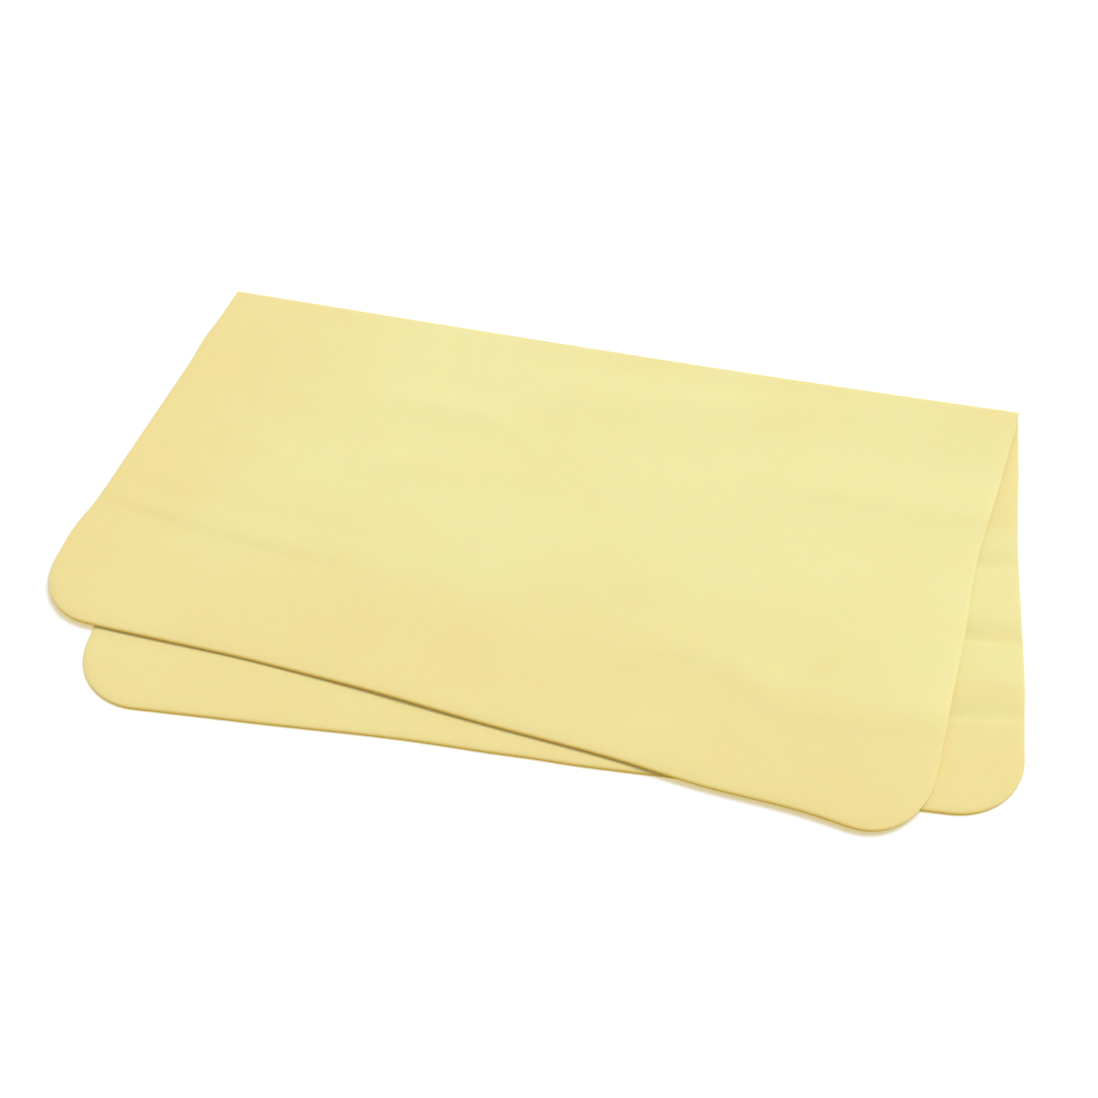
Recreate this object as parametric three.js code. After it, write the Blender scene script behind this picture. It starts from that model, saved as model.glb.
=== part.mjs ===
// Chamois cloth: one rounded sheet, folded once a little askew and laid flat on a table.
// Millimetres, +Z up. The fold runs along X at the back and both leaves run towards -Y.
// The sheet is described flat, by u across its width and v along its length, and then folded.
import * as THREE from 'three';

// Cut sheet
const sheetWidth = 440;
const sheetLength = 540;
const sheetThickness = 1.4;
const cornerRadius = 34;

// Fold: the lower leaf is the deeper one, and the fold line is turned against the sheet's width
const lowerLeafDepth = 276.5;
const foldSkewDegrees = 4.4;
const bendRadius = 1.6;
const bendOpenLeftShare = 0.2;
const bendOpenRightShare = 0.7;

// Lie of the two leaves
const leafClearance = 0.4;
const foldLift = 0.8;
const relaxLength = 60;
const calmLength = 35;

// Bows of the cut edges, where handling has stretched them or a wave has drawn them in
const bowDepth = 4;
const bowReach = 50;

// Creases left by storing the cloth in a smaller packet, and soft waves where it has not settled
const creaseRise = 0.7;
const creaseReach = 8;
const waveRise = 1.0;
const waveReach = 45;

// The sheet is three bodies of material with a fine seam between them
const seamGap = 0.3;

// How finely the forms are faceted
const plainColumns = 20;
const cornerColumns = 5;
const bendRows = 10;
const lowerRowShares = [
  0, 0.06, 0.13, 0.2, 0.26, 0.32, 0.37, 0.42, 0.48, 0.53, 0.57, 0.61, 0.67, 0.72, 0.76, 0.8, 0.86,
  0.93, 1,
];
const upperRowShares = [
  0, 0.05, 0.11, 0.18, 0.24, 0.28, 0.31, 0.36, 0.42, 0.48, 0.55, 0.61, 0.66, 0.71, 0.77, 0.83, 0.87,
  0.93, 1,
];

// Each crease runs through places: a share of the half width, and a share of the leaf's depth. A rise
// below zero makes it a groove, which is all that the lower leaf has, as it lies pressed on the table.
const lowerCreaseShares = [
  { rise: -0.3, run: [[0.4, 0.372], [1.1, 0.372]] },
  { rise: -0.5, run: [[0.4, 0.571], [1.1, 0.575]] },
  { rise: -0.5, run: [[0.3, 0.756], [0.85, 0.756], [1.1, 0.767]] },
];
const upperCreaseShares = [
  { rise: -0.4, run: [[-1.1, 0.6], [-0.75, 0.615], [-0.45, 0.622]] },
  { rise: -0.4, run: [[-1.1, 0.65], [-0.68, 0.702], [-0.35, 0.72]] },
  { rise: 0.9, run: [[0.3, 0.795], [0.45, 0.751], [0.54, 0.774], [0.68, 0.846], [1.1, 0.8]] },
  { rise: 0.9, run: [[0.5, 0.315], [0.64, 0.307], [1.1, 0.305]] },
  { rise: 0.6, run: [[-0.45, 0.25], [-0.23, 0.254], [-0.1, 0.28]] },
  { rise: 0.6, run: [[-0.45, 0.432], [-0.25, 0.41], [-0.12, 0.395]] },
];

// Each wave is a round swell at a place in the same shares, with its reach and rise as shares too
const upperWaveShares = [
  { at: [0.14, 0.12], reach: [2.2, 0.4], rise: 0.7 },
  { at: [0.84, 0.76], reach: [1.2, 1.2], rise: 1.5 },
  { at: [0.84, 0.45], reach: [0.9, 0.6], rise: -0.4 },
  { at: [0.27, 0.36], reach: [1.3, 0.5], rise: 0.5 },
  { at: [-0.68, 0.65], reach: [1.4, 0.8], rise: 0.35 },
  { at: [-0.14, 1], reach: [1, 0.5], rise: 0.6 },
  { at: [-0.73, 1], reach: [1, 0.5], rise: 0.4 },
  { at: [0.34, 1], reach: [1, 0.4], rise: 0.4 },
];

// Each bow has a place, a reach and a depth in shares, and a negative depth draws the edge in. Side
// edges count places along the sheet's length from the fold, and front edges from the sheet's middle.
const rightBowShares = [
  { at: -0.46, reach: 1, depth: -0.27 },
  { at: -0.37, reach: 0.5, depth: 0.16 },
  { at: -0.23, reach: 0.6, depth: -0.15 },
  { at: -0.11, reach: 0.5, depth: 0.21 },
  { at: -0.03, reach: 0.7, depth: 0.45 },
  { at: 0.18, reach: 0.9, depth: -0.95 },
  { at: 0.35, reach: 1.2, depth: -0.73 },
  { at: 0.46, reach: 0.5, depth: -0.52 },
];
const leftBowShares = [
  { at: 0.11, reach: 0.3, depth: 0.3 },
  { at: 0.34, reach: 1, depth: -0.21 },
  { at: 0.39, reach: 0.3, depth: 0.42 },
];
const upperFrontBowShares = [
  { at: -0.9, reach: 0.7, depth: 0.4 },
  { at: -0.5, reach: 0.7, depth: -0.35 },
  { at: -0.23, reach: 1.2, depth: -0.78 },
  { at: 0.27, reach: 1.2, depth: -0.42 },
  { at: 0.55, reach: 0.6, depth: 0.36 },
  { at: 0.93, reach: 0.6, depth: 0.9 },
];
const lowerFrontBowShares = [
  { at: -0.91, reach: 0.7, depth: 0.26 },
  { at: -0.27, reach: 1.1, depth: -0.55 },
  { at: 0, reach: 0.3, depth: -0.13 },
  { at: 0.27, reach: 0.9, depth: -0.2 },
];

// Sizes that follow
const halfWidth = sheetWidth / 2;
const halfThickness = sheetThickness / 2;
const upperLeafDepth = sheetLength - lowerLeafDepth;
const skew = THREE.MathUtils.degToRad(-foldSkewDegrees);
const lowerRest = halfThickness;
const upperRest = sheetThickness + leafClearance + halfThickness;

// A smooth step that is 1 at rest and 0 at the reach, flat at both ends
function fade(distance, reach) {
  const share = THREE.MathUtils.clamp(distance / reach, 0, 1);
  return (1 + Math.cos(Math.PI * share)) / 2;
}

// A bell that is 1 at its middle and has all but gone at twice its reach
function bell(distance, reach) {
  return Math.exp(-((distance / reach) ** 2));
}

// The bend is tightest near its middle and opens towards its ends, most at the right
function bendRadiusAt(u) {
  const share = u / halfWidth;
  const openShare = share > 0 ? bendOpenRightShare : bendOpenLeftShare;
  return bendRadius * (1 + openShare * share * share);
}

// Half of the sheet's length that lies in the bend, from its middle line to either leaf
function halfBendAt(u) {
  return bendRadiusAt(u) * Math.PI / 2;
}

// The flat place v of the line at a distance across from the fold
function lineFromFold(u, across) {
  return (across + u * Math.sin(skew)) / Math.cos(skew);
}

// The place of a share of the half width and a share of the leaf's depth
function placeOf([widthShare, depthShare], leafDepth) {
  return new THREE.Vector2(widthShare * halfWidth, depthShare * leafDepth);
}

// Distance from a place to a run of straight stretches
function distanceToRun(place, run) {
  let nearest = Infinity;
  for (let i = 1; i < run.length; i += 1) {
    const along = run[i].clone().sub(run[i - 1]);
    const offset = place.clone().sub(run[i - 1]);
    const share = THREE.MathUtils.clamp(offset.dot(along) / along.lengthSq(), 0, 1);
    nearest = Math.min(nearest, offset.sub(along.multiplyScalar(share)).length());
  }
  return nearest;
}

// Rise of a leaf's creases and waves; depth counts outwards from the fold
function creasesAt(u, depth, leafDepth, creaseShares) {
  const place = new THREE.Vector2(u, depth);
  let rise = 0;
  for (const shares of creaseShares) {
    const run = shares.run.map((share) => placeOf(share, leafDepth));
    rise += shares.rise * creaseRise * bell(distanceToRun(place, run), creaseReach);
  }
  return rise;
}

function wavesAt(u, depth, leafDepth, waveShares) {
  let rise = 0;
  for (const shares of waveShares) {
    const place = placeOf(shares.at, leafDepth);
    const across = bell(u - place.x, shares.reach[0] * waveReach);
    const outward = bell(depth - place.y, shares.reach[1] * waveReach);
    rise += shares.rise * waveRise * across * outward;
  }
  return rise;
}

function lowerRelief(u, depth) {
  return creasesAt(u, depth, lowerLeafDepth, lowerCreaseShares) * (1 - fade(depth, calmLength));
}

function upperRelief(u, depth) {
  const creases = creasesAt(u, depth, upperLeafDepth, upperCreaseShares);
  const waves = wavesAt(u, depth, upperLeafDepth, upperWaveShares);
  return (creases + waves) * (1 - fade(depth, calmLength));
}

// How far a cut edge bows out at a place along it
function bowAt(place, span, bowShares) {
  let bow = 0;
  for (const shares of bowShares) {
    bow += shares.depth * bowDepth * bell(place - shares.at * span, shares.reach * bowReach);
  }
  return bow;
}

// A flat place as seen along the fold, with the side edges' bows fading out towards the middle
function alongFold(u, v) {
  const widthShare = u / halfWidth;
  const bow = bowAt(v, sheetLength, widthShare > 0 ? rightBowShares : leftBowShares);
  return u * Math.cos(skew) + v * Math.sin(skew) + widthShare * bow;
}

// A leaf's flat place as its distance across from the fold, with the front edge's bows; side is -1 on
// the lower leaf and 1 on the upper
function acrossFold(u, v, side, leafDepth, frontBowShares) {
  const depthShare = Math.max(side * v / leafDepth, 0);
  const bow = bowAt(u, halfWidth, frontBowShares) * depthShare ** 4;
  return side * (v * Math.cos(skew) - u * Math.sin(skew)) + bow;
}

// Points of the folded sheet; lift is the distance from the middle of its thickness, upwards on the
// leaves and outwards on the bend. Nothing reaches below the table, so a groove leaves the underside flat.
function lowerPoint(u, v, lift) {
  const across = acrossFold(u, v, -1, lowerLeafDepth, lowerFrontBowShares);
  const height = lowerRest + lowerRelief(u, across) + lift;
  return new THREE.Vector3(alongFold(u, v), halfBendAt(u) - across, Math.max(height, 0));
}

function upperPoint(u, v, lift) {
  const across = acrossFold(u, v, 1, upperLeafDepth, upperFrontBowShares);
  const outward = Math.max(across - halfBendAt(u), 0);
  const level = upperRest + foldLift * (1 - outward / upperLeafDepth);
  const foldTop = lowerRest + 2 * bendRadiusAt(u);
  const risen = (foldTop - upperRest - foldLift) * fade(outward, relaxLength);
  const height = level + risen + upperRelief(u, across) + lift;
  return new THREE.Vector3(alongFold(u, v), -outward, height);
}

function bendPoint(u, angle, lift) {
  const radius = bendRadiusAt(u);
  const across = angle * radius;
  const along = alongFold(u, lineFromFold(u, across));
  const back = (radius + lift) * Math.cos(angle);
  const height = lowerRest + radius + (radius + lift) * Math.sin(angle);
  return new THREE.Vector3(along, back, Math.max(height, 0));
}

// Columns across the width: even ones, and closer ones round the corners
function columnPlaces() {
  const places = [];
  const straight = halfWidth - cornerRadius;
  for (let i = 0; i < cornerColumns; i += 1) {
    const turn = Math.PI / 2 * (1 - i / cornerColumns);
    places.push(-straight - cornerRadius * Math.sin(turn));
  }
  for (let i = 0; i <= plainColumns; i += 1) {
    places.push(straight * (2 * i / plainColumns - 1));
  }
  for (let i = 1; i <= cornerColumns; i += 1) {
    const turn = Math.PI / 2 * i / cornerColumns;
    places.push(straight + cornerRadius * Math.sin(turn));
  }
  return places;
}

// How far the rounded cut reaches from the sheet's middle line at a column
function cutDepth(u, leafDepth) {
  const past = Math.max(Math.abs(u) - (halfWidth - cornerRadius), 0);
  const drop = cornerRadius - Math.sqrt(Math.max(cornerRadius ** 2 - past ** 2, 0));
  return leafDepth - drop;
}

// Closes two matching sheets of points, over and under, into one solid with a rim
function closedSheet(over, under) {
  const rows = over.length;
  const columns = over[0].length;
  const points = [...over.flat(), ...under.flat()];
  const underStart = rows * columns;
  const index = [];
  const top = (row, column) => row * columns + column;
  const bottom = (row, column) => underStart + top(row, column);
  for (let row = 0; row < rows - 1; row += 1) {
    for (let column = 0; column < columns - 1; column += 1) {
      const next = column + 1;
      index.push(top(row, column), top(row + 1, next), top(row, next));
      index.push(top(row, column), top(row + 1, column), top(row + 1, next));
      index.push(bottom(row, column), bottom(row, next), bottom(row + 1, next));
      index.push(bottom(row, column), bottom(row + 1, next), bottom(row + 1, column));
    }
  }
  const rim = [];
  for (let column = 0; column < columns; column += 1) {
    rim.push([0, column]);
  }
  for (let row = 1; row < rows; row += 1) {
    rim.push([row, columns - 1]);
  }
  for (let column = columns - 2; column >= 0; column -= 1) {
    rim.push([rows - 1, column]);
  }
  for (let row = rows - 2; row > 0; row -= 1) {
    rim.push([row, 0]);
  }
  rim.forEach(([row, column], i) => {
    const [nextRow, nextColumn] = rim[(i + 1) % rim.length];
    index.push(top(nextRow, nextColumn), bottom(row, column), top(row, column));
    index.push(top(nextRow, nextColumn), bottom(nextRow, nextColumn), bottom(row, column));
  });
  const geometry = new THREE.BufferGeometry().setFromPoints(points);
  geometry.setIndex(index);
  geometry.computeVertexNormals();
  return geometry;
}

// One leaf from the bend to its cut edge; side is -1 on the lower leaf and 1 on the upper
function leafGeometry(side, leafDepth, rowShares, pointAt) {
  const sheetOfPoints = (lift) => rowShares.map((rowShare) => columnPlaces().map((u) => {
    const start = lineFromFold(u, side * (halfBendAt(u) + seamGap / 2));
    const end = side * cutDepth(u, leafDepth);
    return pointAt(u, start + rowShare * (end - start), lift);
  }));
  return closedSheet(sheetOfPoints(halfThickness), sheetOfPoints(-halfThickness));
}

// The rolled bend between the leaves
function bendGeometry() {
  const columns = columnPlaces();
  const sheetOfPoints = (lift) => {
    const rows = [];
    for (let row = 0; row <= bendRows; row += 1) {
      rows.push(columns.map((u) => {
        const most = (halfBendAt(u) - seamGap / 2) / bendRadiusAt(u);
        return bendPoint(u, most * (2 * row / bendRows - 1), lift);
      }));
    }
    return rows;
  };
  return closedSheet(sheetOfPoints(halfThickness), sheetOfPoints(-halfThickness));
}

function chamois(name, geometry, color) {
  const material = new THREE.MeshStandardMaterial({ color, roughness: 0.85, metalness: 0 });
  const mesh = new THREE.Mesh(geometry, material);
  mesh.name = name;
  return mesh;
}

const lowerLeaf = leafGeometry(-1, lowerLeafDepth, lowerRowShares, lowerPoint);
const upperLeaf = leafGeometry(1, upperLeafDepth, upperRowShares, upperPoint);
const cloth = new THREE.Group();
cloth.add(chamois('lower_leaf', lowerLeaf, 0xf1e6a1));
cloth.add(chamois('fold_bend', bendGeometry(), 0xf1e6a1));
cloth.add(chamois('upper_leaf', upperLeaf, 0xf1e6a1));

// The origin is under the middle of the folded cloth, on the table
const extent = new THREE.Box3().setFromObject(cloth);
const middle = extent.getCenter(new THREE.Vector3());
cloth.position.set(-middle.x, -middle.y, -extent.min.z);
cloth.updateMatrixWorld(true);

export default cloth;
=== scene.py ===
# Chamois cloth: one cut sheet, folded once a little askew and laid flat on a plain white table.
# Metres, +Z up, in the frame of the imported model. The sheet is described flat, by u across its width
# and v along its length from the fold's middle, and is then folded into place.
import math

import bpy
import numpy as np
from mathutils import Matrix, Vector


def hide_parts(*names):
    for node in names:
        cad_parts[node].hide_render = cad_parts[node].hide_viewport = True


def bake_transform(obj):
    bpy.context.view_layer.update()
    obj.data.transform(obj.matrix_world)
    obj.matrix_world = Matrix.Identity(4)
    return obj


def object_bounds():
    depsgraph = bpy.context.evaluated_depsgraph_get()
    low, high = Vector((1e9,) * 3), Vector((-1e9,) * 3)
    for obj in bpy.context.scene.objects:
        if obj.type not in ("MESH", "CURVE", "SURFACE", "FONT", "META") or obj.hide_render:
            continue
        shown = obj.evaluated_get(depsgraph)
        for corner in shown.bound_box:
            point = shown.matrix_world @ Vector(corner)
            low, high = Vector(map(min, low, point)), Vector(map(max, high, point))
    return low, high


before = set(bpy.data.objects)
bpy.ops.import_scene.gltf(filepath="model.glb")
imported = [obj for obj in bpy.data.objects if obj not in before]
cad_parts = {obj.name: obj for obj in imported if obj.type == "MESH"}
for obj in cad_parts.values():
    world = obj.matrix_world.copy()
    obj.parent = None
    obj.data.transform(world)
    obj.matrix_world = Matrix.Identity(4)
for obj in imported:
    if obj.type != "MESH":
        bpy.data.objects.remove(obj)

MM = 0.001

# A pixel as a share of the photograph's width
PX = 1 / 1098

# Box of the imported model, kept before anything is added
model_low, model_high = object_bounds()

# Cut sheet
SHEET_WIDTH = 440 * MM
SHEET_LENGTH = 540 * MM
SHEET_THICKNESS = 1.4 * MM
CORNER_RADIUS = 34 * MM
EDGE_ROUNDING = 0.35 * MM
EDGE_ROUNDING_STEPS = 4
EDGE_ROUNDING_ANGLE = math.radians(45)

# Wear: towards its cut the sheet is pressed thinner, but not below a least thickness
WEAR_DEPTH = 0.5 * MM
WEAR_REACH = 3.5 * MM
WEAR_FADE = 2
WORN_THICKNESS = 0.75 * MM

# Fold: the lower leaf is the deeper one, and the fold line is turned against the sheet's width
LOWER_LEAF_DEPTH = 276.5 * MM
FOLD_SKEW = math.radians(-4.4)
BEND_RADIUS = 1.6 * MM
BEND_OPEN_LEFT_SHARE = 0.2
BEND_OPEN_RIGHT_SHARE = 0.7

# Lie of the two leaves: the upper one rests on the lower, rises to the fold and droops at its cut edge
LEAF_CLEARANCE = 0.4 * MM
FOLD_LIFT = 1.4 * MM
RELAX_LENGTH = 60 * MM
CALM_LENGTH = 35 * MM
DROOP_DEPTH = 0.22 * MM
DROOP_REACH = 9 * MM

# Bows of the cut edges, where handling has stretched them or a wave has drawn them in
BOW_DEPTH = 4 * MM
BOW_REACH = 50 * MM
BOW_FADE = 4

# Mesh: quads of 4 mm along u by 2 mm along v on the leaves, and closer ones in the bend and in rings
# round the corners. Rings close up towards the cut, but the outermost stays wider than its rounding.
PLAIN_COLUMNS = 100
CORNER_RINGS = 12
RING_GROWTH = 1.4
LEAF_ROWS = 140
BEND_ROWS = 20
COLUMNS = PLAIN_COLUMNS + 2 * CORNER_RINGS
ROWS = 2 * LEAF_ROWS + BEND_ROWS

# Each bow has a place, a reach and a depth in shares, and a negative depth draws the edge in. Side
# edges count places along the sheet's length from the fold, and front edges from the sheet's middle.
RIGHT_BOW_SHARES = [
    (-0.46, 1, -0.27), (-0.37, 0.5, 0.16), (-0.23, 0.6, -0.15), (-0.11, 0.5, 0.21),
    (-0.03, 0.7, 0.45), (0.18, 0.9, -0.95), (0.35, 1.2, -0.73), (0.46, 0.5, -0.52),
]
LEFT_BOW_SHARES = [(0.11, 0.3, 0.3), (0.34, 1, -0.21), (0.39, 0.3, 0.42)]
UPPER_FRONT_BOW_SHARES = [
    (-0.9, 0.7, 0.4), (-0.5, 0.7, -0.35), (-0.23, 1.2, -0.78), (0.27, 1.2, -0.42),
    (0.55, 0.6, 0.36), (0.93, 0.6, 0.9),
]
LOWER_FRONT_BOW_SHARES = [(-0.91, 0.7, 0.26), (-0.27, 1.1, -0.55), (0, 0.3, -0.13), (0.27, 0.9, -0.2)]

# Creases left by storing the cloth in a smaller packet. Each has a rise, below zero for a groove, its
# reach before and past its line, and the line itself: u, distance out from the fold, and strength.
# Lengths are in millimetres here and in the table of waves.
LOWER_CREASES = [
    (-0.65, 9, 5, [(60, 111, 0), (150, 111, 1), (205, 110, 1), (230, 106, 0.8)]),
    (-0.75, 9, 2.8, [(60, 162, 0), (150, 162, 1), (195, 160, 1), (210, 157, 0.7), (230, 154, 0.6)]),
    (-0.8, 11, 2.8, [(60, 214, 0), (150, 214, 1), (182, 209, 1), (200, 205, 0.8), (230, 199, 0.65)]),
]
UPPER_CREASES = [
    (-0.35, 6, 9, [(-230, 158, 0.8), (-165, 162, 0.9), (-120, 163, 0.7), (-70, 166, 0)]),
    (-0.65, 4.5, 16, [(-230, 172, 0.8), (-150, 185, 0.9), (-100, 189, 0.7), (-45, 191, 0)]),
    (0.7, 13, 9, [
        (35, 214, 0), (70, 208, 0.6), (98, 198, 0.9), (118, 204, 0.9), (150, 223, 1), (185, 221, 0.9),
        (230, 210, 1),
    ]),
    (0.9, 18, 9, [(85, 84, 0), (140, 81, 1), (180, 82, 0.6), (230, 80, 0.7)]),
    (0.6, 8, 8, [(-115, 68, 0), (-80, 65, 1), (-50, 67, 0.9), (-15, 78, 0)]),
    (0.55, 9, 14, [(-115, 116, 0), (-85, 113, 1), (-55, 108, 0.8), (-20, 102, 0)]),
    (1.1, 14, 24, [(-45, 42, 0), (-5, 39, 0.6), (60, 31, 1), (110, 21, 0.5), (150, 14, 0)]),
]

# Soft waves where the upper leaf has not settled: u, distance out, reach along u, reach outwards, rise
UPPER_WAVES = [
    (185, 200, 55, 55, 1.5),
    (185, 118, 40, 26, -0.4),
    (60, 96, 60, 22, 0.5),
    (-100, 140, 40, 16, 0.25),
    (-175, 170, 75, 40, 0.8),
    (-30, 264, 45, 22, 0.6),
    (-160, 264, 45, 22, 0.4),
    (75, 264, 45, 18, 0.4),
    (-150, 60, 60, 30, 0.4),
    (-15, 150, 50, 30, 0.4),
]

# Sizes that follow
HALF_WIDTH = SHEET_WIDTH / 2
HALF_THICKNESS = SHEET_THICKNESS / 2
UPPER_LEAF_DEPTH = SHEET_LENGTH - LOWER_LEAF_DEPTH
LOWER_REST = HALF_THICKNESS
UPPER_REST = SHEET_THICKNESS + LEAF_CLEARANCE + HALF_THICKNESS

# Dye tones, partly the cloth's own tint and partly painted shade: how warm the cloth is along its
# length, as places v in millimetres with a share, and across its width, from where it is clear to
# where it is all warm. Warm bands along the length are painted shade on the creases' shaded sides and
# near the fold. On the right a clear lobe reaches out, where all the places v lie further along.
CLEAR_YELLOW = "F2E8A6"
WARM_TINT_AND_SHADE_YELLOW = "F2E09A"
WARM_TINT_AND_SHADE_STOPS = [
    (-270, 1), (-240, 0.9), (-232, 0.9), (-220, 0.75), (-210, 0.2), (-192, 0.2), (-189.5, 0.85),
    (-186, 0.9), (-181, 0.6), (-172, 0.2), (-148, 0.2), (-139, 0.6), (-124, 0.25), (-112, 0.7),
    (-40, 0.7), (0, 0.3), (40, 0), (130, 0.05), (178, 0.3), (196, 0.65), (215, 0.85), (263, 1),
]
WARM_SIDE = (-75 * MM, -225 * MM)
CLEAR_LOBE = (55 * MM, 115 * MM)
CLEAR_LOBE_DEPTH = 14 * MM

# Cut edge: a deeper gold than the skin towards the cut, partly the fleece core's colour and partly
# painted shade of the shaded cut faces and the dark line under them. It fades out inwards, and shows
# less on the two long sides, where the distance to the cut is taken from a squeezed place.
CORE_AND_SHADE_GOLD = "DAB747"
CORE_AND_SHADE_REACH = 2.0 * MM
CORE_AND_SHADE_FADE = 2.0
CORE_AND_SHADE_SIDE_SQUEEZE = 0.94

# Surface patterns by their real sizes. Fibres and pores are about three times as coarse as real ones,
# which would be too fine to show. A span is the part of a pattern's range that is used.
CLOUD_SIZE = 80 * MM
CLOUD_SHARE = 0.28
CLOUD_DETAIL = 3.0
CLOUD_ROUGHNESS = 0.55
CLOUD_SPAN = (0.3, 0.7)
FIBRE_SIZE = 1.6 * MM
FIBRE_SHADE = 0.012
FIBRE_DETAIL = 4.0
FIBRE_ROUGHNESS = 0.6
FIBRE_SPAN = (0.25, 0.75)
PORE_SIZE = 1.3 * MM
PORE_SMOOTHNESS = 0.6
NAP_DEPTH = 0.03 * MM

# Skin: matte, with a faint sheen of standing fibres
SKIN_ROUGHNESS = 0.85
SKIN_GLOSS = 0.3
SHEEN_SHARE = 0.2
SHEEN_ROUGHNESS = 0.4

# Light that soaks into the fleece: how much of it, how far, and each colour's share of that way
SOAK_SHARE = 0.5
SOAK_REACH = 1.5 * MM
SOAK_COLOURS = (1.0, 0.7, 0.3)

# Table: the cloth is lit by the first white. The camera sees the other two colours, the second of which
# needs no light: added up they are pure white, and in a shadow the warm one is left as a painted warm
# shadow tint.
TABLE_SIZE = 6.0
TABLE_GAP = 0.1 * MM
TABLE_WHITE = "E7E7E7"
TABLE_SEEN = "BCD6FF"
TABLE_GLOW = "C1A752"

# Light: a white room all round, and one lamp high up behind on the right
ROOM_WHITE = "FFFFFF"
SKY_LEVEL = 0.52
LAMP_PLACE = Vector((4.6, 8.0, 13.2))
LAMP_SIZE = 8.0
LAMP_LEVEL = 0.52

# Camera, as found from the photograph's outlines
CAMERA_PLACE = Vector((128.94, -544.57, 621.04)) * MM
CAMERA_TURN = math.radians(13.502)
CAMERA_DIP = math.radians(48.176)
CAMERA_FOCUS = 1664.3 * PX
SENSOR_WIDTH = 36.0
CLIP_NEAR = 10 * MM


def fade(distance, reach):
    """A smooth step that is 1 at rest and 0 at the reach, flat at both ends."""
    return (1 + np.cos(np.pi * np.clip(distance / reach, 0, 1))) / 2


def bell(distance, reach):
    """A bell that is 1 at its middle and has all but gone at twice its reach."""
    return np.exp(-((distance / reach) ** 2))


def bend_radius_at(u):
    """The bend is tightest near its middle and opens towards its ends, most at the right."""
    share = u / HALF_WIDTH
    open_share = np.where(share > 0, BEND_OPEN_RIGHT_SHARE, BEND_OPEN_LEFT_SHARE)
    return BEND_RADIUS * (1 + open_share * share * share)


def half_bend_at(u):
    """Half of the sheet's length that lies in the bend."""
    return bend_radius_at(u) * math.pi / 2


def past_fold(u, v):
    """How far a flat place lies past the fold line, and below zero on the lower leaf."""
    return v * math.cos(FOLD_SKEW) - u * math.sin(FOLD_SKEW)


def line_past_fold(u, past):
    """The flat place v of the line that lies so far past the fold line."""
    return (past + u * math.sin(FOLD_SKEW)) / math.cos(FOLD_SKEW)


def bow_at(place, span, bow_shares):
    """How far a cut edge bows out at a place along it."""
    bow = 0
    for at, reach, depth in bow_shares:
        bow = bow + depth * BOW_DEPTH * bell(place - at * span, reach * BOW_REACH)
    return bow


def along_fold(u, v):
    """A flat place as seen along the fold, with the side edges' bows fading out towards the middle."""
    share = u / HALF_WIDTH
    right = bow_at(v, SHEET_LENGTH, RIGHT_BOW_SHARES)
    left = bow_at(v, SHEET_LENGTH, LEFT_BOW_SHARES)
    bow = np.where(share > 0, right, left)
    return u * math.cos(FOLD_SKEW) + v * math.sin(FOLD_SKEW) + share * bow


def across_fold(u, v, side, leaf_depth, front_bow_shares):
    """A leaf's distance out from the fold, with its front edge's bows fading out towards the fold; side
    is -1 on the lower leaf and 1 on the upper."""
    depth_share = np.maximum(side * v / leaf_depth, 0)
    bow = bow_at(u, HALF_WIDTH, front_bow_shares) * depth_share**BOW_FADE
    return side * past_fold(u, v) + bow


def creases_at(u, depth, creases):
    """Rise of a leaf's creases; depth counts outwards from the fold."""
    rise = np.zeros(np.shape(u))
    for crease_rise, before, past, line in creases:
        line_u, line_depth, strengths = np.transpose(line)
        distance = depth / MM - np.interp(u / MM, line_u, line_depth)
        strength = np.interp(u / MM, line_u, strengths)
        reach = np.where(distance < 0, before, past)
        rise += crease_rise * MM * strength**2 * (3 - 2 * strength) * bell(distance, reach)
    return rise


def waves_at(u, depth, waves):
    """Rise of a leaf's waves."""
    rise = np.zeros(np.shape(u))
    for wave_u, wave_depth, reach_along, reach_out, wave_rise in waves:
        swell = bell(u / MM - wave_u, reach_along) * bell(depth / MM - wave_depth, reach_out)
        rise += wave_rise * MM * swell
    return rise


def edge_distance(u, v):
    """Distance of a flat place from the sheet's rounded rectangular cut."""
    middle = UPPER_LEAF_DEPTH - SHEET_LENGTH / 2
    past_u = np.abs(u) - (HALF_WIDTH - CORNER_RADIUS)
    past_v = np.abs(v - middle) - (SHEET_LENGTH / 2 - CORNER_RADIUS)
    corner = np.hypot(np.maximum(past_u, 0), np.maximum(past_v, 0))
    return CORNER_RADIUS - corner - np.minimum(np.maximum(past_u, past_v), 0)


def lower_place(u, v):
    """Where the lower leaf's middle surface lies; the table is under it, so it has grooves alone."""
    across = across_fold(u, v, -1, LOWER_LEAF_DEPTH, LOWER_FRONT_BOW_SHARES)
    relief = creases_at(u, across, LOWER_CREASES) * (1 - fade(across, CALM_LENGTH))
    return along_fold(u, v), half_bend_at(u) - across, LOWER_REST + relief


def upper_place(u, v):
    """Where the upper leaf's middle surface lies."""
    across = across_fold(u, v, 1, UPPER_LEAF_DEPTH, UPPER_FRONT_BOW_SHARES)
    outward = np.maximum(across - half_bend_at(u), 0)
    level = UPPER_REST + FOLD_LIFT * (1 - outward / UPPER_LEAF_DEPTH)
    fold_top = LOWER_REST + 2 * bend_radius_at(u)
    risen = (fold_top - UPPER_REST - FOLD_LIFT) * fade(outward, RELAX_LENGTH)
    relief = creases_at(u, across, UPPER_CREASES) + waves_at(u, across, UPPER_WAVES)
    relief = relief - DROOP_DEPTH * fade(edge_distance(u, v), DROOP_REACH)
    relief = relief * (1 - fade(across, CALM_LENGTH))
    return along_fold(u, v), -outward, level + risen + relief


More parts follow.
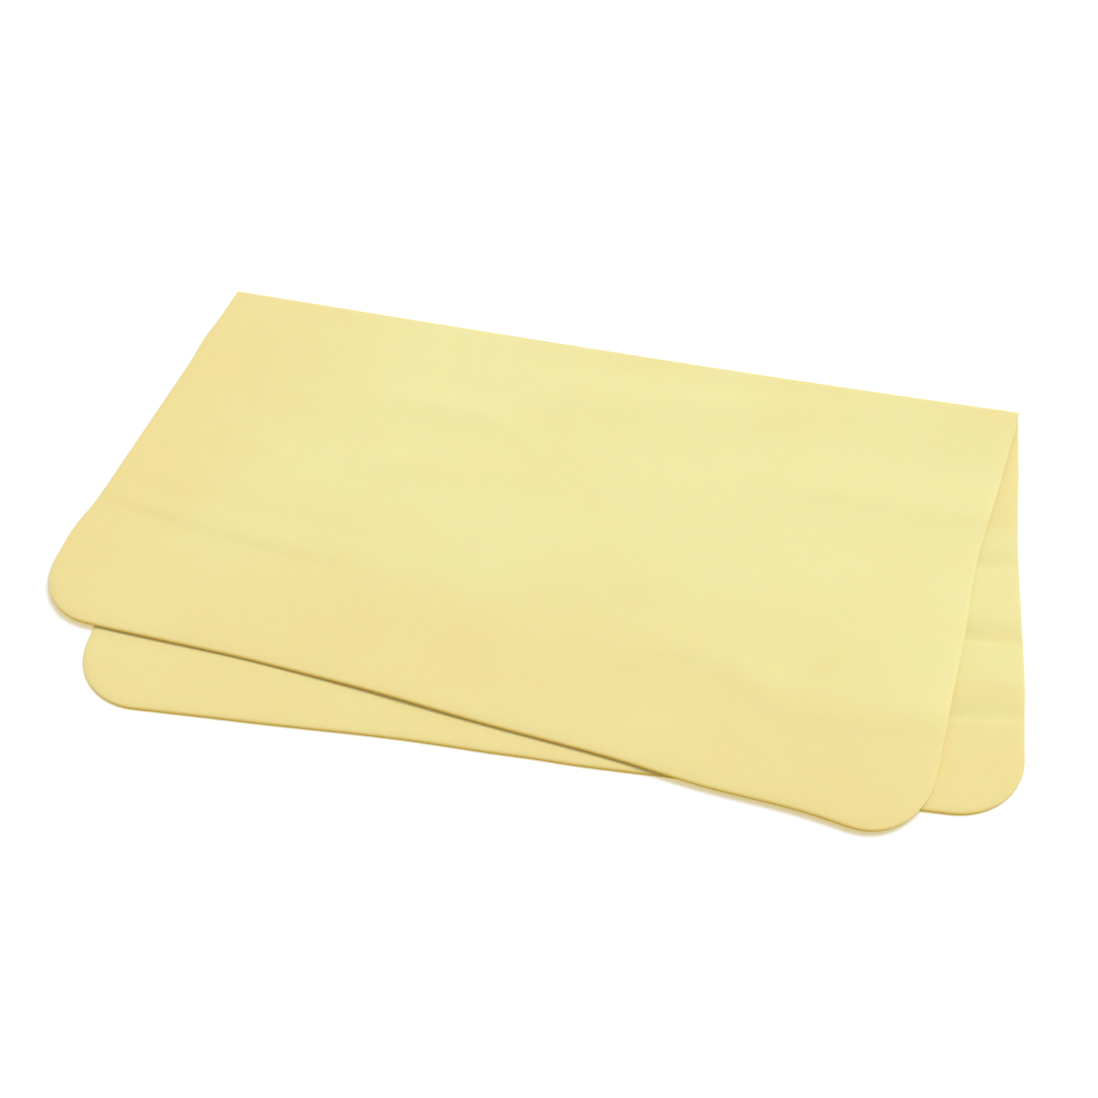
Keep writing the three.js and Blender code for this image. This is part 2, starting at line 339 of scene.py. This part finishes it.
def bend_place(u, v):
    """Where the bend's middle surface lies."""
    radius = bend_radius_at(u)
    angle = past_fold(u, v) / radius
    back = radius * np.cos(np.clip(angle, -math.pi / 2, math.pi / 2))
    return along_fold(u, v), back, LOWER_REST + radius + radius * np.sin(angle)


def ring_radius(step):
    """The corner radius of a ring of the grid, some steps in from the cut."""
    return CORNER_RADIUS * (1 - np.clip(step / CORNER_RINGS, 0, 1) ** RING_GROWTH)


def corner_offset(column, row):
    """How far a grid point lies past the corners' middles along u and v, in rings round each corner."""
    side = np.sign(column - COLUMNS / 2)
    end = np.sign(row - ROWS / 2)
    column_step = np.minimum(column, COLUMNS - column)
    row_step = np.minimum(row, ROWS - row)
    ring = np.minimum(column_step, row_step)
    along_ring = np.abs(column_step - row_step) / np.maximum(CORNER_RINGS - ring, 1)
    turn = math.pi / 4 * (1 - np.where(column_step <= row_step, along_ring, -along_ring))
    in_corner = np.maximum(column_step, row_step) < CORNER_RINGS
    past_u = np.where(in_corner, ring_radius(ring) * np.cos(turn), ring_radius(column_step))
    past_v = np.where(in_corner, ring_radius(ring) * np.sin(turn), ring_radius(row_step))
    return side * past_u, end * past_v


def flat_place(column, row):
    """The flat place u, v of a grid point; rows close up in the bend."""
    past_u, past_v = corner_offset(column, row)
    plain = np.clip(2 * (column - CORNER_RINGS) / PLAIN_COLUMNS - 1, -1, 1)
    u = (HALF_WIDTH - CORNER_RADIUS) * plain + past_u
    plain_rows = LEAF_ROWS - CORNER_RINGS
    lower_share = np.clip((LEAF_ROWS - row) / plain_rows, 0, 1)
    upper_share = np.clip((row - LEAF_ROWS - BEND_ROWS) / plain_rows, 0, 1)
    bend_share = np.clip(2 * (row - LEAF_ROWS) / BEND_ROWS - 1, -1, 1)
    start = line_past_fold(u, bend_share * half_bend_at(u))
    to_lower = CORNER_RADIUS - LOWER_LEAF_DEPTH - start
    to_upper = UPPER_LEAF_DEPTH - CORNER_RADIUS - start
    return u, start + lower_share * to_lower + upper_share * to_upper + past_v


def flat_share(length):
    """A length along u or v as a place on the flat map, whose unit is the sheet's length."""
    return length / SHEET_LENGTH + 0.5


def per_sheet(size):
    """The scale of a pattern of a real size on the flat map."""
    return SHEET_LENGTH / size


def linear(hex_colour):
    """An sRGB hex colour as linear red, green, blue and alpha."""
    parts = [int(hex_colour[i:i + 2], 16) / 255 for i in (0, 2, 4)]
    return [x / 12.92 if x <= 0.04045 else ((x + 0.055) / 1.055) ** 2.4 for x in parts] + [1.0]


def add_node(tree, kind, inputs=None, **settings):
    """Adds a node with its settings; an input is a value, or another node's output."""
    node = tree.nodes.new(kind)
    for name, value in settings.items():
        setattr(node, name, value)
    for name, value in (inputs or {}).items():
        if isinstance(value, bpy.types.NodeSocket):
            tree.links.new(value, node.inputs[name])
        else:
            node.inputs[name].default_value = value
    return node


def new_material(name):
    """An empty material and its node tree."""
    material = bpy.data.materials.new(name)
    material.use_nodes = True
    material.node_tree.nodes.clear()
    return material, material.node_tree


def vertex_places(mesh):
    """The mesh's vertices as an array of places."""
    places = np.empty(3 * len(mesh.vertices))
    mesh.vertices.foreach_get("co", places)
    return places.reshape(-1, 3)


def set_vertex_places(mesh, places):
    """Moves the mesh's vertices to an array of places."""
    mesh.vertices.foreach_set("co", places.ravel())
    mesh.update()


def apply_modifier(piece, kind, **settings):
    """Adds a modifier with its settings to the active piece and applies it."""
    modifier = piece.modifiers.new(kind.lower(), kind)
    for name, value in settings.items():
        setattr(modifier, name, value)
    bpy.ops.object.modifier_apply(modifier=modifier.name)


def fold_grid(mesh, u, v):
    """Folds the flat grid: each vertex goes to its place in a leaf or in the bend."""
    past = past_fold(u, v)
    half_bend = half_bend_at(u)
    lower, upper, bend = (np.stack(place(u, v), 1) for place in (lower_place, upper_place, bend_place))
    places = np.where((past > half_bend)[:, None], upper, bend)
    places = np.where((past < -half_bend)[:, None], lower, places)
    set_vertex_places(mesh, places)


def wear_cut(mesh, u, v):
    """Lowers the sheet's top towards its cut, but not in the fold. The thickened sheet holds the grid's
    vertices twice over, one face of the cloth and then the other."""
    faces = vertex_places(mesh).reshape(2, -1, 3)
    heights = faces[:, :, 2]
    heights[:] = np.maximum(heights, 0)
    wear = WEAR_DEPTH * np.clip(1 - edge_distance(u, v) / WEAR_REACH, 0, 1) ** WEAR_FADE
    wear = wear * (1 - fade(np.abs(past_fold(u, v)), CALM_LENGTH))
    wear = np.clip(np.ptp(heights, axis=0) - WORN_THICKNESS, 0, wear)
    is_top = heights >= heights.max(0)
    heights -= np.where(is_top, wear, 0)
    set_vertex_places(mesh, faces)


def make_sheet():
    """The whole cloth: a flat grid cut to the rounded outline, folded, thickened, worn and rounded."""
    bpy.ops.object.select_all(action="DESELECT")
    bpy.ops.mesh.primitive_grid_add(x_subdivisions=COLUMNS, y_subdivisions=ROWS, size=1)
    sheet = bpy.context.object
    sheet.name = sheet.data.name = "chamois_sheet"

    grid = np.rint((vertex_places(sheet.data)[:, :2] + 0.5) * (COLUMNS, ROWS))
    u, v = flat_place(grid[:, 0], grid[:, 1])
    corner_of = np.empty(len(sheet.data.loops), int)
    sheet.data.loops.foreach_get("vertex_index", corner_of)
    flat = flat_share(np.stack([u, v], 1)[corner_of])
    sheet.data.uv_layers[0].name = "flat_cut"
    sheet.data.uv_layers[0].uv.foreach_set("vector", flat.astype(np.float32).ravel())

    fold_grid(sheet.data, u, v)
    apply_modifier(sheet, "SOLIDIFY", thickness=SHEET_THICKNESS, offset=0)
    wear_cut(sheet.data, u, v)
    apply_modifier(
        sheet, "BEVEL", width=EDGE_ROUNDING, segments=EDGE_ROUNDING_STEPS, limit_method="ANGLE",
        angle_limit=EDGE_ROUNDING_ANGLE, use_clamp_overlap=False,
    )

    # It lies on the table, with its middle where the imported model's is
    places = vertex_places(sheet.data)
    places[:, 2] = np.maximum(places[:, 2], 0)
    middle = (places.min(0) + places.max(0)) / 2
    places[:, :2] += np.array((model_low + model_high) / 2)[:2] - middle[:2]
    set_vertex_places(sheet.data, places)
    bpy.ops.object.shade_smooth()
    return sheet


def blend_leaves(sheet):
    """Bakes the sheet's place into its mesh."""
    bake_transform(sheet)


def chamois_material():
    """Synthetic chamois, a pressed fibre fleece: it looks matte, velvety and faintly mottled, with
    painted shade in its warm tone and at its cut.
    """
    material, tree = new_material("pressed_fibre_chamois")
    flat = add_node(tree, "ShaderNodeUVMap", uv_map="flat_cut").outputs["UV"]
    place = add_node(tree, "ShaderNodeSeparateXYZ", {"Vector": flat})

    # Dye tone: the middle is a clear yellow, and the left side and both ends are warmer. Its warm bands
    # along the length are partly painted shade, on the creases' shaded sides and near the fold.
    lobe = add_node(
        tree, "ShaderNodeMapRange",
        {
            "Value": place.outputs["X"],
            "From Min": flat_share(CLEAR_LOBE[0]), "From Max": flat_share(CLEAR_LOBE[1]),
            "To Max": CLEAR_LOBE_DEPTH / SHEET_LENGTH,
        },
        interpolation_type="SMOOTHSTEP",
    )
    toned = add_node(
        tree, "ShaderNodeMath", {0: place.outputs["Y"], 1: lobe.outputs["Result"]},
        operation="SUBTRACT",
    )
    along = add_node(tree, "ShaderNodeValToRGB", {"Fac": toned.outputs[0]})
    along.color_ramp.interpolation = "EASE"
    stops = along.color_ramp.elements
    while len(stops) < len(WARM_TINT_AND_SHADE_STOPS):
        stops.new(1)
    for stop, (warm_place, warm_share) in zip(stops, WARM_TINT_AND_SHADE_STOPS):
        stop.position = flat_share(warm_place * MM)
        stop.color = (warm_share, warm_share, warm_share, 1)
    side = add_node(
        tree, "ShaderNodeMapRange",
        {
            "Value": place.outputs["X"],
            "From Min": flat_share(WARM_SIDE[0]), "From Max": flat_share(WARM_SIDE[1]),
        },
        interpolation_type="SMOOTHSTEP",
    )
    warm = add_node(
        tree, "ShaderNodeMath", {0: along.outputs["Color"], 1: side.outputs["Result"]},
        operation="MAXIMUM",
    )
    cloud = add_node(
        tree, "ShaderNodeTexNoise",
        {
            "Vector": flat, "Scale": per_sheet(CLOUD_SIZE),
            "Detail": CLOUD_DETAIL, "Roughness": CLOUD_ROUGHNESS,
        },
    )
    spread = add_node(
        tree, "ShaderNodeMapRange",
        {
            "Value": cloud.outputs["Fac"], "From Min": CLOUD_SPAN[0], "From Max": CLOUD_SPAN[1],
            "To Min": -CLOUD_SHARE, "To Max": CLOUD_SHARE,
        },
    )
    tone = add_node(
        tree, "ShaderNodeMath", {0: warm.outputs[0], 1: spread.outputs["Result"]},
        operation="ADD", use_clamp=True,
    )
    colour_with_painted_shade = add_node(
        tree, "ShaderNodeMix",
        {"Factor": tone.outputs[0], "A": linear(CLEAR_YELLOW), "B": linear(WARM_TINT_AND_SHADE_YELLOW)},
        data_type="RGBA",
    )

    # Cut edge: gold, partly painted shade, where the distance to the rounded rectangular cut runs out
    middle = (0.5, flat_share(UPPER_LEAF_DEPTH - SHEET_LENGTH / 2), 0)
    straight = ((HALF_WIDTH - CORNER_RADIUS) / SHEET_LENGTH, 0.5 - CORNER_RADIUS / SHEET_LENGTH, 0)
    offset = add_node(tree, "ShaderNodeVectorMath", {0: flat, 1: middle}, operation="SUBTRACT")
    offset = add_node(tree, "ShaderNodeVectorMath", {0: offset.outputs[0]}, operation="ABSOLUTE")
    past = add_node(
        tree, "ShaderNodeVectorMath", {0: offset.outputs[0], 1: straight}, operation="SUBTRACT",
    )
    past = add_node(
        tree, "ShaderNodeVectorMath", {0: past.outputs[0], 1: (0, 0, 0)}, operation="MAXIMUM",
    )
    past = add_node(
        tree, "ShaderNodeVectorMath", {0: past.outputs[0], 1: (CORE_AND_SHADE_SIDE_SQUEEZE, 1, 1)},
        operation="MULTIPLY",
    )
    past = add_node(tree, "ShaderNodeVectorMath", {0: past.outputs[0]}, operation="LENGTH")
    rim = add_node(
        tree, "ShaderNodeMapRange",
        {
            "Value": past.outputs["Value"],
            "From Min": (CORNER_RADIUS - CORE_AND_SHADE_REACH) / SHEET_LENGTH,
            "From Max": CORNER_RADIUS / SHEET_LENGTH,
        },
    )
    core_and_shade = add_node(tree, "ShaderNodeMath", {0: rim.outputs["Result"], 1: CORE_AND_SHADE_FADE}, operation="POWER")
    colour_with_painted_shade = add_node(
        tree, "ShaderNodeMix",
        {"Factor": core_and_shade.outputs[0], "A": colour_with_painted_shade.outputs[2], "B": linear(CORE_AND_SHADE_GOLD)},
        data_type="RGBA",
    )

    # Fleece: fibre bundles a little lighter and darker than the dye, drawn coarse enough to show
    fibre = add_node(
        tree, "ShaderNodeTexNoise",
        {
            "Vector": flat, "Scale": per_sheet(FIBRE_SIZE),
            "Detail": FIBRE_DETAIL, "Roughness": FIBRE_ROUGHNESS,
        },
    )
    shade = add_node(
        tree, "ShaderNodeMapRange",
        {
            "Value": fibre.outputs["Fac"], "From Min": FIBRE_SPAN[0], "From Max": FIBRE_SPAN[1],
            "To Min": 1 - FIBRE_SHADE, "To Max": 1 + FIBRE_SHADE,
        },
    )
    colour = add_node(
        tree, "ShaderNodeVectorMath", {0: colour_with_painted_shade.outputs[2], "Scale": shade.outputs["Result"]},
        operation="SCALE",
    )

    # Nap: the fleece stands up in soft bumps with fine pores between them
    pores = add_node(
        tree, "ShaderNodeTexVoronoi",
        {"Vector": flat, "Scale": per_sheet(PORE_SIZE), "Smoothness": PORE_SMOOTHNESS},
        feature="SMOOTH_F1",
    )
    nap = add_node(
        tree, "ShaderNodeMath", {0: fibre.outputs["Fac"], 1: pores.outputs["Distance"]},
        operation="SUBTRACT",
    )
    bump = add_node(
        tree, "ShaderNodeBump", {"Height": nap.outputs[0], "Strength": 1.0, "Distance": NAP_DEPTH},
    )
    skin = add_node(
        tree, "ShaderNodeBsdfPrincipled",
        {
            "Base Color": colour.outputs["Vector"], "Normal": bump.outputs["Normal"],
            "Roughness": SKIN_ROUGHNESS, "Specular IOR Level": SKIN_GLOSS,
            "Sheen Weight": SHEEN_SHARE, "Sheen Roughness": SHEEN_ROUGHNESS,
            "Subsurface Weight": SOAK_SHARE, "Subsurface Scale": SOAK_REACH,
            "Subsurface Radius": SOAK_COLOURS,
        },
    )
    add_node(tree, "ShaderNodeOutputMaterial", {"Surface": skin.outputs["BSDF"]})
    return material


def seen_directly(tree):
    """1 for what the camera sees, straight or in gloss and glass, and 0 for light on the cloth."""
    path = add_node(tree, "ShaderNodeLightPath")
    seen = add_node(
        tree, "ShaderNodeMath", {0: path.outputs["Is Camera Ray"], 1: path.outputs["Is Glossy Ray"]},
        operation="ADD",
    )
    seen = add_node(
        tree, "ShaderNodeMath", {0: seen.outputs[0], 1: path.outputs["Is Transmission Ray"]},
        operation="ADD", use_clamp=True,
    )
    return seen.outputs[0]


def table_material():
    """A plain painted table top: it is seen as pure white, and a glow paints its shadows a faint warm
    tint.
    """
    material, tree = new_material("white_table_top")
    white = add_node(tree, "ShaderNodeBsdfDiffuse", {"Color": linear(TABLE_WHITE)})
    shaded = add_node(tree, "ShaderNodeBsdfDiffuse", {"Color": linear(TABLE_SEEN)})
    # The glow paints a warm tint into the table's shadows
    glow = add_node(tree, "ShaderNodeEmission", {"Color": linear(TABLE_GLOW), "Strength": 1.0})
    seen = add_node(
        tree, "ShaderNodeAddShader", {0: shaded.outputs["BSDF"], 1: glow.outputs["Emission"]},
    )
    both = add_node(
        tree, "ShaderNodeMixShader",
        {0: seen_directly(tree), 1: white.outputs["BSDF"], 2: seen.outputs["Shader"]},
    )
    add_node(tree, "ShaderNodeOutputMaterial", {"Surface": both.outputs["Shader"]})
    return material


def make_table():
    """The table top that the cloth lies on."""
    bpy.ops.object.select_all(action="DESELECT")
    bpy.ops.mesh.primitive_plane_add(size=TABLE_SIZE, location=(0, 0, -TABLE_GAP))
    top = bpy.context.object
    top.name = "table_top"
    top.data.materials.append(table_material())


def make_sky():
    """White all round: seen at full white, and lighting the cloth softly from every side."""
    world = bpy.data.worlds.new("soft_white_room")
    bpy.context.scene.world = world
    world.use_nodes = True
    tree = world.node_tree
    tree.nodes.clear()
    white = linear(ROOM_WHITE)
    light = add_node(tree, "ShaderNodeBackground", {"Color": white, "Strength": SKY_LEVEL})
    backdrop = add_node(tree, "ShaderNodeBackground", {"Color": white, "Strength": 1.0})
    both = add_node(
        tree, "ShaderNodeMixShader",
        {0: seen_directly(tree), 1: light.outputs["Background"], 2: backdrop.outputs["Background"]},
    )
    add_node(tree, "ShaderNodeOutputWorld", {"Surface": both.outputs["Shader"]})


def make_lamp(name, place, size, level):
    """A square soft lamp aimed at the cloth; its level is how bright it makes a white table."""
    bpy.ops.object.light_add(type="AREA", location=place)
    lamp = bpy.context.object
    lamp.name = name
    lamp.rotation_euler = (-place).to_track_quat("-Z", "Y").to_euler()
    lamp.data.size = size
    slant = place.z / place.length
    lamp.data.energy = level * (math.pi * place.length) ** 2 / slant


def make_camera():
    """The photograph's view."""
    turn = (math.pi / 2 - CAMERA_DIP, 0, CAMERA_TURN)
    bpy.ops.object.camera_add(location=CAMERA_PLACE, rotation=turn)
    camera = bpy.context.object
    camera.data.sensor_width = SENSOR_WIDTH
    camera.data.lens = CAMERA_FOCUS * SENSOR_WIDTH
    camera.data.clip_start = CLIP_NEAR
    bpy.context.scene.camera = camera


make_camera()
sheet = make_sheet()
sheet.data.materials.append(chamois_material())
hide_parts("lower_leaf", "fold_bend", "upper_leaf")
blend_leaves(sheet)

make_table()
make_sky()
make_lamp("soft_lamp", LAMP_PLACE, LAMP_SIZE, LAMP_LEVEL)
bpy.context.scene.view_settings.view_transform = "Standard"
